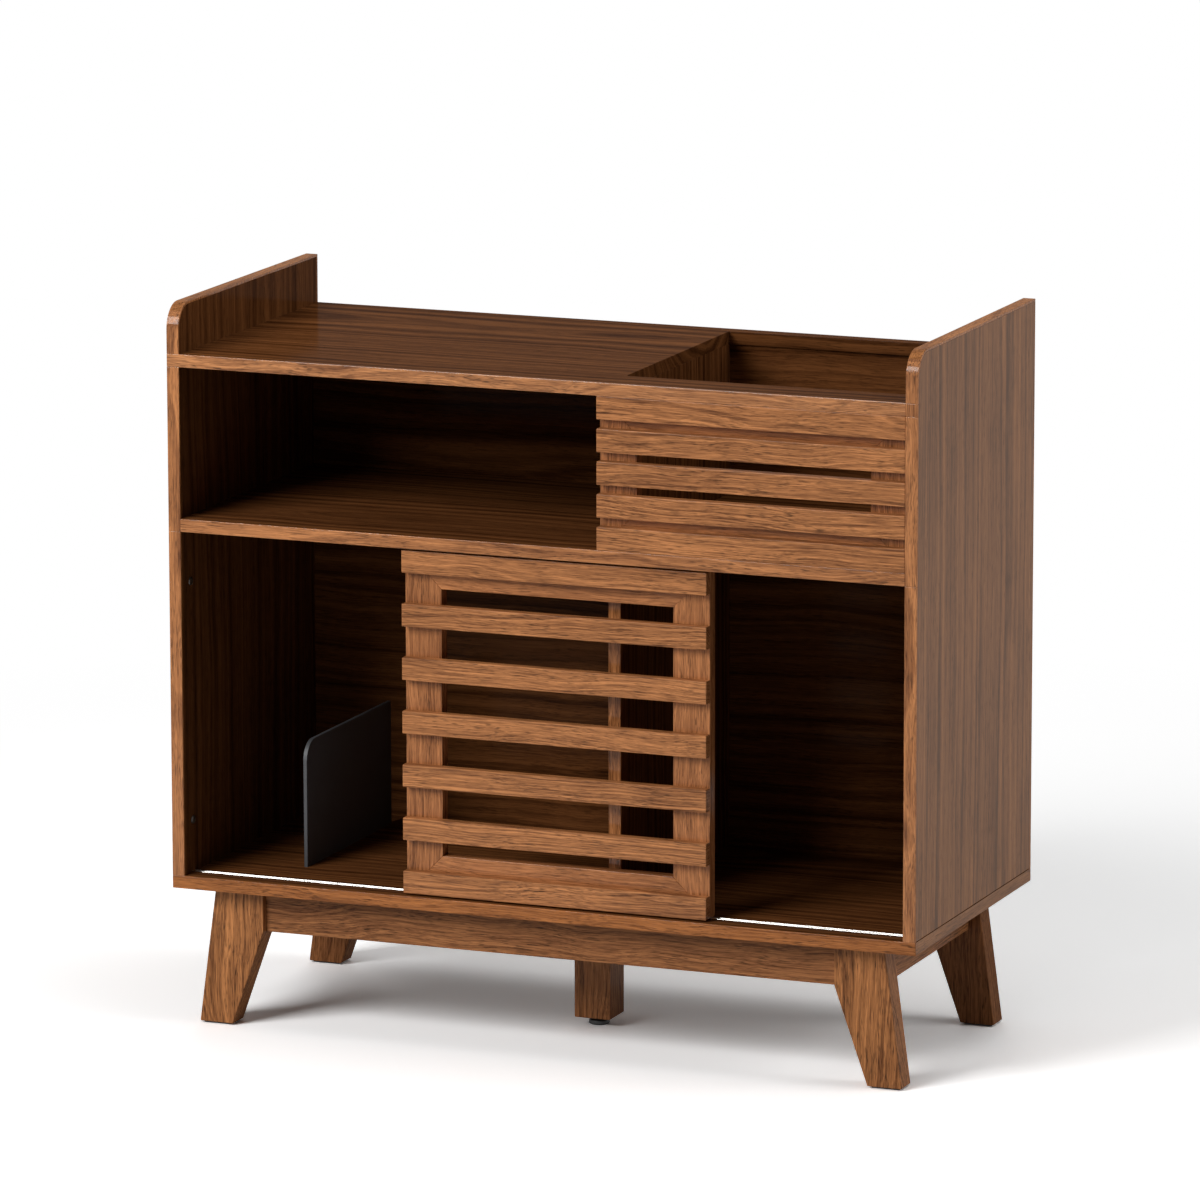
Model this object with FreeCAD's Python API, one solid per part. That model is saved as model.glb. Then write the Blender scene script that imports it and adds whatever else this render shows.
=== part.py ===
import FreeCAD, Part
import os

# Record console: an open cabinet on legs, with a sliding slatted door in front of
# the lower bays and a slatted bin at the upper right that is open through the deck.
# Lengths are millimetres. X runs to the right, Y to the rear, Z up, and the origin
# is on the floor under the middle of the cabinet.

# Cabinet
width = 920.0
depth = 400.0
height = 855.0
board = 15.0
lipping = 3.0
bin_height = 178.0
gallery_rise = 58.0
gallery_radius = 30.0
partition_left = 73.5

# Opening in the deck above the bin
strip_front_depth = 55.0
strip_rear_depth = 20.0

# Back panel
back_thickness = 4.0
back_inset = 12.0
groove_depth = 5.0
port_radius = 25.0
port_rise = 60.0
upper_port_left = 20.0
lower_port_right = 365.0

# Slatted fronts
slat_thickness = 12.0
member_width = 45.0
bin_frame_thickness = 15.0
bin_slat_count = 5
bin_slat_gap = 10.5
door_frame_thickness = 16.0
door_left = -170.0
door_width = 375.0
door_setback = 6.0
door_floor_gap = 2.2
door_head_gap = 3.0
door_slat_count = 7
door_slat_height = 26.5
slat_edge_radius = 1.0

# Track, rollers and guides of the door
track_width = 8.0
track_height = 4.0
track_sunk = 2.5
track_groove_width = 4.6
track_groove_depth = 1.2
roller_radius = 9.0
roller_width = 4.0
trunnion_radius = 1.5
trunnion_length = 8.0
roller_end_distance = 60.0
housing_length = 32.0
housing_width = 9.0
housing_height = 20.0
housing_slot_margin = 1.0
housing_slot_width = 4.8
channel_width = 8.0
channel_height = 8.0
channel_wall = 1.0
stud_head_radius = 2.7
stud_stem_radius = 2.2
stud_stem_length = 20.0
stud_reach = 5.0
bumper_radius = 5.0
bumper_thickness = 2.0
bumper_end_distance = 60.0

# Legs and aprons
leg_height = 165.0
leg_thickness = 31.0
leg_front_inset = 22.0
leg_rear_inset = 30.0
leg_top_inset = 45.0
leg_foot_inset = 23.0
leg_top_width = 60.0
leg_foot_width = 42.0
leg_edge_radius = 1.5
glide_thickness = 2.0
glide_margin = 4.0
apron_height = 50.0
apron_thickness = 20.0
apron_setback = 8.0
side_apron_inset = 55.0

# Centre post and its levelling foot
post_width = 45.0
post_floor_gap = 10.5
post_forward = 10.0
plate_width = 90.0
plate_thickness = 3.0
plate_hole_margin = 10.0
insert_radius = 6.0
insert_length = 25.0
stem_radius = 4.0
stem_bottom = 4.0
stem_length = 34.0
post_bore_length = 36.0
pad_radius = 12.25
pad_thickness = 6.0
neck_radius = 6.0
neck_height = 3.0

# Record divider
divider_side_distance = 113.0
divider_thickness = 4.5
divider_height = 150.0
divider_depth = 250.0
divider_front_setback = 95.0
divider_radius = 24.0
divider_sunk = 3.0

# Fasteners
cam_radius = 7.5
cam_height = 12.0
cam_end_distance = 24.0
cam_front_inset = 42.0
cam_rear_inset = 50.0
cam_bolt_radius = 3.0
cam_bolt_embed = 9.0
dowel_radius = 3.0
dowel_embed = 20.0
dowel_blind = 9.0
confirmat_head_radius = 5.0
confirmat_radius = 3.2
confirmat_length = 50.0
apron_screw_sunk = 22.0
apron_screw_length = 38.0
apron_screw_radius = 2.2
apron_screw_head_radius = 4.2
plate_screw_radius = 2.0
plate_screw_head_radius = 4.0
plate_screw_length = 15.0
post_screw_length = 60.0
small_screw_radius = 1.5
small_screw_head_radius = 3.0
slat_screw_bite = 7.0
back_screw_length = 22.0
track_screw_head_radius = 2.0
track_screw_radius = 1.0
track_screw_length = 10.0

# Places along the cabinet, as shares of its width, depth or of a bay's height
side_screw_shares = (-0.4, 0.0, 0.4)
partition_fixing_shares = (-0.35, 0.0, 0.35)
back_screw_shares = (-0.4, -0.15, 0.2, 0.4)
track_screw_shares = (-0.45, -0.15, 0.15, 0.45)
apron_screw_shares = (-0.25, 0.25)
apron_dowel_shares = (0.25, 0.75)
bin_dowel_shares = (0.3, 0.7)
rail_screw_shares = (0.25, 0.75)

# Clearances
fit_gap = 0.1
running_gap = 0.05
panel_gap = 0.1
overrun = 1.0

# Planes that several pieces share
half_width = width / 2
inner = half_width - board
front = -depth / 2
rear = depth / 2
board_front = front + lipping
board_rear = rear - lipping
bottom_top = leg_height + board
deck_top = height - gallery_rise
deck_bottom = deck_top - board
shelf_top = deck_bottom - bin_height
shelf_bottom = shelf_top - board
partition_right = partition_left + board
partition_middle = partition_left + board / 2
back_rear = rear - back_inset
back_front = back_rear - back_thickness
bay_rear = back_front - panel_gap
bin_frame_front = front + slat_thickness
bin_frame_rear = bin_frame_front + bin_frame_thickness
door_front = front + door_setback
door_frame_front = door_front + slat_thickness
door_frame_rear = door_frame_front + door_frame_thickness
door_right = door_left + door_width
door_bottom = bottom_top + door_floor_gap
door_top = shelf_bottom - door_head_gap
track_y = door_frame_front + door_frame_thickness / 2
lower_partition_front = door_frame_rear + door_floor_gap
roller_floor = bottom_top + track_height - track_sunk - track_groove_depth
roller_z = roller_floor + running_gap + roller_radius
roller_places = (door_left + roller_end_distance, door_right - roller_end_distance)
leg_front_y = front + leg_front_inset
leg_rear_y = rear - leg_rear_inset
apron_bottom = leg_height - apron_height
front_apron_y = leg_front_y + apron_setback
rear_apron_y = leg_rear_y - apron_setback - apron_thickness
apron_end = half_width - leg_top_inset - leg_top_width
side_apron_outer = half_width - side_apron_inset
side_apron_middle = side_apron_outer - apron_thickness / 2
plate_bottom = leg_height - plate_thickness
post_y = -post_forward
divider_front = front + divider_front_setback
divider_x = -inner + divider_side_distance

X = FreeCAD.Vector(1, 0, 0)
Y = FreeCAD.Vector(0, 1, 0)
Z = FreeCAD.Vector(0, 0, 1)


def block(x0, x1, y0, y1, z0, z1):
    """Box between two planes along each axis."""
    low = FreeCAD.Vector(min(x0, x1), min(y0, y1), min(z0, z1))
    return Part.makeBox(abs(x1 - x0), abs(y1 - y0), abs(z1 - z0), low)


def rod(x, y, z, radius, length, direction):
    """Round bar that starts at a point and runs along a direction."""
    return Part.makeCylinder(radius, length, FreeCAD.Vector(x, y, z), direction)


def plate_xz(points, y0, y1):
    """Flat piece with an outline in the XZ plane, from y0 to y1."""
    corners = [FreeCAD.Vector(x, y0, z) for x, z in points]
    outline = Part.makePolygon(corners + corners[:1])
    return Part.Face(outline).extrude(FreeCAD.Vector(0, y1 - y0, 0))


def screw(x, y, z, direction, head_radius, radius, length, gap=0):
    """Countersunk screw from the middle of its head; with a gap it is the hole."""
    start = FreeCAD.Vector(x, y, z)
    cone_height = head_radius - radius
    head = Part.makeCone(head_radius + gap, radius + gap, cone_height, start, direction)
    shank = Part.makeCylinder(radius + gap, length + gap, start, direction)
    return head.fuse(shank).removeSplitter()


def cut_away(piece, tools):
    """The piece without the tools that reach into it."""
    near = [tool for tool in tools if piece.BoundBox.intersect(tool.BoundBox)]
    return piece.cut(near) if near else piece


def save(name, *pieces):
    """Write one node; several pieces stay separate solids in it."""
    solids = [solid for piece in pieces for solid in piece.Solids]
    shape = solids[0] if len(solids) == 1 else Part.makeCompound(solids)
    shape.exportStep("parts/" + name + ".step")


# Screws. Each place is the middle of the head, the way in, and the screw's sizes.

def confirmat_places():
    """Screws up through the bottom panel into the sides and the lower partition."""
    places = []
    for side in (-1, 1):
        for share in side_screw_shares:
            places.append((side * (inner + board / 2), share * depth, leg_height))
    for share in partition_fixing_shares:
        places.append((partition_middle, share * depth, leg_height))
    return places


def apron_screw_places():
    """Screws up through the aprons into the bottom panel, sunk in deep holes."""
    z = apron_bottom + apron_screw_sunk
    places = []
    for share in apron_screw_shares:
        for y in (front_apron_y, rear_apron_y):
            places.append((share * width, y + apron_thickness / 2, z))
        for side in (-1, 1):
            places.append((side * side_apron_middle, share * depth, z))
    return places


def cabinet_screws(gap=0):
    """Every screw of the cabinet, or with a gap the holes for them."""
    made = []
    for x, y, z in confirmat_places():
        made.append(screw(x, y, z, Z, confirmat_head_radius, confirmat_radius, confirmat_length, gap))
    for x, y, z in apron_screw_places():
        made.append(screw(x, y, z, Z, apron_screw_head_radius, apron_screw_radius,
                          apron_screw_length, gap))
    plate_hole = plate_width / 2 - plate_hole_margin
    for x in (-plate_hole, plate_hole):
        for y in (-plate_hole, plate_hole):
            made.append(screw(x, post_y + y, plate_bottom, Z, plate_screw_head_radius,
                              plate_screw_radius, plate_screw_length, gap))
    made.append(screw(0, post_y, leg_height, -Z, plate_screw_head_radius, plate_screw_radius,
                      post_screw_length, gap))
    for share in back_screw_shares:
        made.append(screw(share * width, back_rear, shelf_bottom + board / 2, -Y,
                          small_screw_head_radius, small_screw_radius, back_screw_length, gap))
    for share in track_screw_shares:
        made.append(screw(share * width, track_y, roller_floor, -Z, track_screw_head_radius,
                          track_screw_radius, track_screw_length, gap))
    return made


def slat_screws(left, right, frame_rear, frame_thickness, heights, gap=0):
    """Two screws from behind into each slat: through the rails into the first and
    last slat, through the stiles into those between."""
    made = []
    for z in heights:
        if z in (heights[0], heights[-1]):
            places = [left + share * (right - left) for share in rail_screw_shares]
        else:
            places = [left + member_width / 2, right - member_width / 2]
        for x in places:
            made.append(screw(x, frame_rear, z, -Y, small_screw_head_radius, small_screw_radius,
                              frame_thickness + slat_screw_bite, gap))
    return made


# Cam fittings hold the middle shelf and the deck between the sides.

def cam_places():
    """Side, Y and board underside of each fitting. The deck's rear strip is too narrow for one."""
    front_y = front + cam_front_inset
    rear_y = rear - cam_rear_inset
    places = [(side, y, shelf_bottom) for side in (-1, 1) for y in (front_y, rear_y)]
    return places + [(-1, front_y, deck_bottom), (-1, rear_y, deck_bottom), (1, front_y, deck_bottom)]


def cams(gap=0):
    """Round cam bodies, let into the underside of the boards."""
    made = []
    for side, y, z in cam_places():
        made.append(rod(side * (inner - cam_end_distance), y, z, cam_radius + gap, cam_height + gap, Z))
    return made


def cam_bolts(gap=0):
    """Bolts that stand in the side panels and reach their cams."""
    length = cam_end_distance - cam_radius + cam_bolt_embed
    made = []
    for side, y, z in cam_places():
        x = side * (inner - cam_end_distance + cam_radius)
        made.append(rod(x, y, z + board / 2, cam_bolt_radius + gap, length + gap, X * side))
    return made


# Wooden dowels

def dowels(gap=0):
    """Dowels of the partitions, the deck's rear strip, the bin's frame and the aprons."""
    r = dowel_radius + gap
    made = []
    for share in partition_fixing_shares:
        y = share * depth
        low = shelf_bottom - dowel_embed
        made.append(rod(partition_middle, y, low, r, board + 2 * dowel_embed, Z))
        low = deck_bottom - dowel_embed
        made.append(rod(partition_middle, y, low, r, dowel_embed + dowel_blind + gap, Z))
    strip_y = (back_rear + panel_gap + board_rear) / 2
    made.append(rod(inner - dowel_embed, strip_y, deck_bottom + board / 2, r,
                    dowel_embed + dowel_blind + gap, X))
    for share in bin_dowel_shares:
        z = shelf_top + share * (deck_bottom - shelf_top)
        made.append(rod(inner - dowel_embed, bin_frame_front + bin_frame_thickness / 2, z, r,
                        dowel_embed + dowel_blind + gap, X))
        made.append(rod(partition_middle, bin_frame_rear - dowel_blind, z, r,
                        dowel_embed + dowel_blind + gap, Y))
    for share in apron_dowel_shares:
        z = apron_bottom + share * apron_height
        for y in (front_apron_y, rear_apron_y):
            middle = y + apron_thickness / 2
            for side in (-1, 1):
                made.append(rod(side * (apron_end - dowel_embed), middle, z, r, 2 * dowel_embed, X * side))
        for side in (-1, 1):
            x = side * side_apron_middle
            made.append(rod(x, leg_front_y + leg_thickness - dowel_embed, z, r, 2 * dowel_embed, Y))
            made.append(rod(x, leg_rear_y - leg_thickness - dowel_embed, z, r, 2 * dowel_embed, Y))
    return made


# Boards. The outer boards share one groove for the back panel.

def back_groove():
    """Space of the back panel, groove depth included."""
    reach = inner + groove_depth
    return block(-reach, reach, back_front - panel_gap, back_rear + panel_gap,
                 bottom_top - groove_depth, deck_bottom + groove_depth)


def gallery_profile(x0, x1, y0, y1, z0, z1, radius):
    """Upright board whose upper front corner is rounded."""
    panel = block(x0, x1, y0, y1, z0, z1)
    corner = [edge for edge in panel.Edges
              if abs(edge.CenterOfMass.y - y0) < overrun / 2 and abs(edge.CenterOfMass.z - z1) < overrun / 2]
    return panel.makeFillet(radius, corner)


def side_panel(side, holes):
    """Veneered board of full height, on top of the bottom panel."""
    panel = gallery_profile(side * inner, side * half_width, board_front, board_rear,
                            bottom_top, height - lipping, gallery_radius - lipping)
    return cut_away(panel, [back_groove()] + holes)


def side_lippings(side):
    """Solid edging: two lengths up the front, one up the rear, one bent over the gallery."""
    x0 = side * inner
    x1 = side * half_width
    lower = block(x0, x1, front, board_front, bottom_top, shelf_bottom)
    upper = block(x0, x1, front, board_front, shelf_bottom, deck_bottom)
    back = block(x0, x1, board_rear, rear, bottom_top, height - lipping)
    outer = gallery_profile(x0, x1, front, rear, deck_top, height, gallery_radius)
    inside = gallery_profile(x0 - side * overrun, x1 + side * overrun, board_front, rear + overrun,
                             deck_top - overrun, height - lipping, gallery_radius - lipping)
    return [lower, upper, back, outer.cut(inside)]


def long_lipping(half_length, z0):
    """Solid edging along the front of a horizontal board."""
    return block(-half_length, half_length, front, board_front, z0, z0 + board)


def deck_panel(holes):
    """Top board, cut away over the bin between a front and a rear strip."""
    panel = block(-inner, inner, board_front, rear, deck_bottom, deck_top)
    opening = block(partition_right, inner + overrun, front + strip_front_depth,
                    rear - strip_rear_depth, deck_bottom - overrun, deck_top + overrun)
    return cut_away(panel, [opening, back_groove()] + holes)


def middle_shelf(holes):
    """Shelf between the sides, with a groove below for the door's guide channel."""
    panel = block(-inner, inner, board_front, bay_rear, shelf_bottom, shelf_top)
    groove = block(-inner, inner, track_y - channel_width / 2, track_y + channel_width / 2,
                   shelf_bottom, shelf_bottom + channel_height)
    return cut_away(panel, [groove] + holes)


def bottom_panel(holes):
    """Lowest board, of full width, with grooves for the track and the divider."""
    panel = block(-half_width, half_width, board_front, rear, leg_height, bottom_top)
    groove = block(-inner, inner, track_y - track_width / 2, track_y + track_width / 2,
                   bottom_top - track_sunk, bottom_top)
    seat = block(divider_x - divider_thickness / 2 - panel_gap, divider_x + divider_thickness / 2 + panel_gap,
                 divider_front - panel_gap, divider_front + divider_depth + panel_gap,
                 bottom_top - divider_sunk, bottom_top)
    return cut_away(panel, [groove, seat, back_groove()] + holes)


def upper_partition(holes):
    """Wall between the upper bay and the bin."""
    panel = block(partition_left, partition_right, bin_frame_rear, bay_rear, shelf_top, deck_bottom)
    return cut_away(panel, holes)


def lower_partition(holes):
    """Wall between the lower bays, set back to let the door pass."""
    panel = block(partition_left, partition_right, lower_partition_front + lipping, bay_rear,
                  bottom_top, shelf_bottom)
    return cut_away(panel, holes)


def partition_lipping():
    """Solid edging of the lower partition."""
    return block(partition_left, partition_right, lower_partition_front,
                 lower_partition_front + lipping, bottom_top, shelf_bottom)


def back_panel(holes):
    """Thin board in the groove, with a round port for cables in two bays."""
    reach = inner + groove_depth - panel_gap
    panel = block(-reach, reach, back_front, back_rear, bottom_top - groove_depth + panel_gap,
                  deck_bottom + groove_depth - panel_gap)
    through = back_thickness + 2 * overrun
    upper_port = rod(-upper_port_left, back_front - overrun, shelf_top + port_rise, port_radius, through, Y)
    lower_port = rod(lower_port_right, back_front - overrun, bottom_top + port_rise, port_radius, through, Y)
    return cut_away(panel, [upper_port, lower_port] + holes)


# Slatted fronts: a mitred frame with slats screwed across its face.

def mitred_frame(left, right, low, high, y0, y1):
    """Left stile, right stile, top rail and bottom rail that meet in mitres."""
    w = member_width
    outlines = (
        ((left, low), (left + w, low + w), (left + w, high - w), (left, high)),
        ((right, low), (right, high), (right - w, high - w), (right - w, low + w)),
        ((left, high), (left + w, high - w), (right - w, high - w), (right, high)),
        ((left, low), (right, low), (right - w, low + w), (left + w, low + w)),
    )
    return [plate_xz(points, y0, y1) for points in outlines]


def slat(left, right, y0, low, slat_height):
    """One slat with softened edges."""
    bar = block(left, right, y0, y0 + slat_thickness, low, low + slat_height)
    return bar.makeFillet(slat_edge_radius, bar.Edges)


def spread(low, high, count, slat_height):
    """Undersides of slats spread evenly from low to high, from the top down."""
    step = (high - low - slat_height) / (count - 1)
    return [high - slat_height - i * step for i in range(count)]


def bin_front(holes):
    """Fixed front of the bin, flush with the cabinet."""
    slat_height = (deck_bottom - shelf_top - (bin_slat_count - 1) * bin_slat_gap) / bin_slat_count
    lows = spread(shelf_top, deck_bottom, bin_slat_count, slat_height)
    middles = [low + slat_height / 2 for low in lows]
    screw_sizes = (partition_left, inner, bin_frame_rear, bin_frame_thickness, middles)
    bores = holes + slat_screws(*screw_sizes, gap=fit_gap)
    frame = mitred_frame(partition_left, inner, shelf_top, deck_bottom, bin_frame_front, bin_frame_rear)
    members = ("bin_stile_left", "bin_stile_right", "bin_rail_top", "bin_rail_bottom")
    for name, member in zip(members, frame):
        save(name, cut_away(member, bores))
    for number, low in enumerate(lows, 1):
        save("bin_slat_" + str(number), cut_away(slat(partition_left, inner, front, low, slat_height), bores))
    return slat_screws(*screw_sizes)


def door():
    """Sliding door with its roller housings and guide studs."""
    lows = spread(door_bottom, door_top, door_slat_count, door_slat_height)
    middles = [low + door_slat_height / 2 for low in lows]
    screw_sizes = (door_left, door_right, door_frame_rear, door_frame_thickness, middles)
    bores = slat_screws(*screw_sizes, gap=fit_gap) + housings(fit_gap) + guide_studs(fit_gap)
    frame = mitred_frame(door_left, door_right, door_bottom, door_top, door_frame_front, door_frame_rear)
    members = ("door_stile_left", "door_stile_right", "door_rail_top", "door_rail_bottom")
    for name, member in zip(members, frame):
        save(name, cut_away(member, bores))
    for number, low in enumerate(lows, 1):
        save("door_slat_" + str(number),
             cut_away(slat(door_left, door_right, door_front, low, door_slat_height), bores))
    save("door_slat_screws", *slat_screws(*screw_sizes))
    save("roller_housings", *[housing.cut(hollow) for housing, hollow in zip(housings(), housing_hollows())])
    save("door_guide_studs", *guide_studs())


# Running gear of the door

def housings(gap=0):
    """Outer form of the two roller housings, let into the door's lower edge."""
    made = []
    for x in roller_places:
        half_length = housing_length / 2 + gap
        half_thick = housing_width / 2 + gap
        made.append(block(x - half_length, x + half_length, track_y - half_thick, track_y + half_thick,
                          door_bottom, door_bottom + housing_height + gap))
    return made


def housing_hollows():
    """Slot for each wheel and the bearing holes for its trunnions."""
    made = []
    for x in roller_places:
        reach = roller_radius + housing_slot_margin
        slot = block(x - reach, x + reach, track_y - housing_slot_width / 2, track_y + housing_slot_width / 2,
                     door_bottom - overrun, roller_z + reach)
        bearing = rod(x, track_y - trunnion_length / 2 - running_gap, roller_z,
                      trunnion_radius + running_gap, trunnion_length + 2 * running_gap, Y)
        made.append(slot.fuse(bearing))
    return made


def roller(x):
    """Wheel moulded in one piece with its trunnions."""
    wheel = rod(x, track_y - roller_width / 2, roller_z, roller_radius, roller_width, Y)
    trunnions = rod(x, track_y - trunnion_length / 2, roller_z, trunnion_radius, trunnion_length, Y)
    return wheel.fuse(trunnions)


def guide_studs(gap=0):
    """Studs on the door's upper edge; their heads run in the channel."""
    made = []
    for x in roller_places:
        stem = rod(x, track_y, door_top - stud_stem_length - gap, stud_stem_radius + gap,
                   stud_stem_length + gap, Z)
        head = rod(x, track_y, door_top, stud_head_radius, door_head_gap + stud_reach, Z)
        made.append(stem.fuse(head))
    return made


def bottom_track(holes):
    """Metal strip with a shallow groove for the wheels."""
    strip_top = bottom_top + track_height - track_sunk
    strip = block(-inner, inner, track_y - track_width / 2, track_y + track_width / 2,
                  bottom_top - track_sunk, strip_top)
    groove = block(-inner, inner, track_y - track_groove_width / 2, track_y + track_groove_width / 2,
                   roller_floor, strip_top + overrun)
    return cut_away(strip, [groove] + holes)


def top_guide_channel():
    """Channel under the middle shelf, open downwards."""
    outer = block(-inner, inner, track_y - channel_width / 2, track_y + channel_width / 2,
                  shelf_bottom, shelf_bottom + channel_height)
    half_inside = channel_width / 2 - channel_wall
    inside = block(-inner, inner, track_y - half_inside, track_y + half_inside,
                   shelf_bottom - overrun, shelf_bottom + channel_height - channel_wall)
    return outer.cut(inside)


def door_bumpers():
    """Soft discs on the sides that stop the door at both ends."""
    made = []
    for side in (-1, 1):
        for z in (door_bottom + bumper_end_distance, door_top - bumper_end_distance):
            made.append(rod(side * inner, track_y, z, bumper_radius, bumper_thickness, X * -side))
    return made


# Legs and aprons

def leg(side, y0, holes):
    """Splayed leg, upright on its inner edge beside the apron."""
    points = (
        (side * (half_width - leg_top_inset), leg_height),
        (side * (half_width - leg_foot_inset), glide_thickness),
        (side * (half_width - leg_foot_inset - leg_foot_width), glide_thickness),
        (side * apron_end, apron_bottom),
        (side * apron_end, leg_height),
    )
    post = plate_xz(points, y0, y0 + leg_thickness)
    eased = [edge for edge in post.Edges if edge.BoundBox.ZMin < leg_height - overrun]
    eased = [edge for edge in eased if edge.BoundBox.ZMax < leg_height - overrun or edge.BoundBox.XLength]
    return cut_away(post.makeFillet(leg_edge_radius, eased), holes)


def leg_glides():
    """Thin plastic pads under the feet."""
    made = []
    for side in (-1, 1):
        outer = side * (half_width - leg_foot_inset - glide_margin)
        inside = side * (half_width - leg_foot_inset - leg_foot_width + glide_margin)
        for y in (leg_front_y, leg_rear_y - leg_thickness):
            made.append(block(inside, outer, y + glide_margin, y + leg_thickness - glide_margin,
                              0, glide_thickness))
    return made


def long_apron(y0, holes):
    """Rail between the left and right legs."""
    rail = block(-apron_end, apron_end, y0, y0 + apron_thickness, apron_bottom, leg_height)
    return cut_away(rail, holes)


def side_apron(side, holes):
    """Rail between the front and rear legs."""
    outer = side * side_apron_outer
    rail = block(outer, outer - side * apron_thickness, leg_front_y + leg_thickness,
                 leg_rear_y - leg_thickness, apron_bottom, leg_height)
    return cut_away(rail, holes)


def apron_screw_wells():
    """Deep holes below the heads of the apron screws."""
    return [rod(x, y, apron_bottom, apron_screw_head_radius + fit_gap, apron_screw_sunk, Z)
            for x, y, z in apron_screw_places()]


# Centre post and levelling foot

def centre_post(holes):
    """Square post under the middle, bored from below for the insert."""
    half = post_width / 2
    post = block(-half, half, post_y - half, post_y + half, post_floor_gap, plate_bottom)
    sleeve_bore = rod(0, post_y, post_floor_gap, insert_radius + fit_gap, insert_length, Z)
    stem_bore = rod(0, post_y, post_floor_gap, stem_radius + fit_gap, post_bore_length, Z)
    return cut_away(post, [sleeve_bore, stem_bore] + holes)


def post_plate(holes):
    """Steel plate that fixes the post to the bottom panel."""
    half = plate_width / 2
    return cut_away(block(-half, half, post_y - half, post_y + half, plate_bottom, leg_height), holes)


def levelling_insert():
    """Threaded sleeve in the post; the thread is left plain."""
    sleeve = rod(0, post_y, post_floor_gap, insert_radius, insert_length, Z)
    return sleeve.cut(rod(0, post_y, post_floor_gap, stem_radius + running_gap, insert_length, Z))


def levelling_pad():
    """Round foot with a neck and a socket for the stem."""
    pad = rod(0, post_y, 0, pad_radius, pad_thickness, Z)
    neck = rod(0, post_y, pad_thickness, neck_radius, neck_height, Z)
    socket = rod(0, post_y, stem_bottom, stem_radius + running_gap, pad_thickness + neck_height, Z)
    return pad.fuse(neck).removeSplitter().cut(socket)


def record_divider():
    """Upright plate in the left lower bay, rounded at its upper front corner."""
    half = divider_thickness / 2
    return gallery_profile(divider_x - half, divider_x + half, divider_front, divider_front + divider_depth,
                           bottom_top - divider_sunk, bottom_top + divider_height, divider_radius)


def build():
    """Make every node."""
    os.makedirs("parts", exist_ok=True)
    holes = cabinet_screws(fit_gap) + cams(fit_gap) + cam_bolts(fit_gap) + dowels(fit_gap)

    for name, side in (("left", -1), ("right", 1)):
        save("side_panel_" + name, side_panel(side, holes))
        save("side_lippings_" + name, *side_lippings(side))
        save("apron_" + name, side_apron(side, holes + apron_screw_wells()))
        save("leg_front_" + name, leg(side, leg_front_y, holes))
        save("leg_rear_" + name, leg(side, leg_rear_y - leg_thickness, holes))
    save("deck_panel", deck_panel(holes))
    save("deck_lipping", long_lipping(half_width, deck_bottom))
    save("middle_shelf", middle_shelf(holes))
    save("shelf_lipping", long_lipping(inner, shelf_bottom))
    save("bottom_panel", bottom_panel(holes))
    save("bottom_lipping", long_lipping(half_width, leg_height))
    save("upper_partition", upper_partition(holes))
    save("lower_partition", lower_partition(holes))
    save("partition_lipping", partition_lipping())
    save("back_panel", back_panel(holes))
    bin_screws = bin_front(holes)
    door()
    save("roller_left", roller(roller_places[0]))
    save("roller_right", roller(roller_places[1]))
    save("bottom_track", bottom_track(holes))
    save("top_guide_channel", top_guide_channel())
    save("door_bumpers", *door_bumpers())
    save("leg_glides", *leg_glides())
    save("apron_front", long_apron(front_apron_y, holes + apron_screw_wells()))
    save("apron_rear", long_apron(rear_apron_y, holes + apron_screw_wells()))
    save("centre_post", centre_post(holes))
    save("post_plate", post_plate(holes))
    save("levelling_insert", levelling_insert())
    save("levelling_stem", rod(0, post_y, stem_bottom, stem_radius, stem_length, Z))
    save("levelling_pad", levelling_pad())
    save("record_divider", record_divider())
    save("cam_fittings", *cams(), *cam_bolts())
    save("wood_dowels", *dowels())
    save("cabinet_screws", *cabinet_screws(), *bin_screws)


build()
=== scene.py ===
import math
import bmesh
import bpy
from mathutils import Euler, Matrix, Vector


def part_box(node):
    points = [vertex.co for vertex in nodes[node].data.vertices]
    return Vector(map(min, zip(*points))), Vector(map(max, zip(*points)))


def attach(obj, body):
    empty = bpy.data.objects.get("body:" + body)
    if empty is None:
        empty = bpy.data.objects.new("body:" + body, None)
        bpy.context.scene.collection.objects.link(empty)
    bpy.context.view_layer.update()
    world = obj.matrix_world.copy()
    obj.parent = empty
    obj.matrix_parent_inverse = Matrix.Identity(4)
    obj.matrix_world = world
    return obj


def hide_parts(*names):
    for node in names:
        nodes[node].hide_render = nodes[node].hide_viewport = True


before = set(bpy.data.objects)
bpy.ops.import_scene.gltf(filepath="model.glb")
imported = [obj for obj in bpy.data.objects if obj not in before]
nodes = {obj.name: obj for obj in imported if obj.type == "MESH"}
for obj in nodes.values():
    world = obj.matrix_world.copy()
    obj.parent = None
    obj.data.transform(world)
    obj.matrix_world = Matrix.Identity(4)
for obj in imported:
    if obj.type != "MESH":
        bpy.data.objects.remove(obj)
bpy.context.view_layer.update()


# Carcass boards: bottom panel, sides, shelf, deck, partitions and the thin back. Walnut
# veneer on 15 mm board under a satin lacquer, joined by cam fittings, dowels and long
# screws. The veneer's grain runs along each board.

def group_input(tree, kind, name, value):
    """Named input of a node group."""
    tree.interface.new_socket(name=name, in_out="INPUT", socket_type=kind).default_value = value


def wire(tree, node_type, inputs=(), **settings):
    """New node with its settings; inputs are (socket, value or output) pairs."""
    node = tree.nodes.new(node_type)
    for name, value in settings.items():
        setattr(node, name, value)
    for socket, value in inputs:
        if isinstance(value, bpy.types.NodeSocket):
            tree.links.new(value, node.inputs[socket])
        else:
            node.inputs[socket].default_value = value
    return node


def maths(tree, operation, first, second):
    """Result of a Math node."""
    return wire(tree, "ShaderNodeMath", ((0, first), (1, second)), operation=operation).outputs[0]


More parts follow.
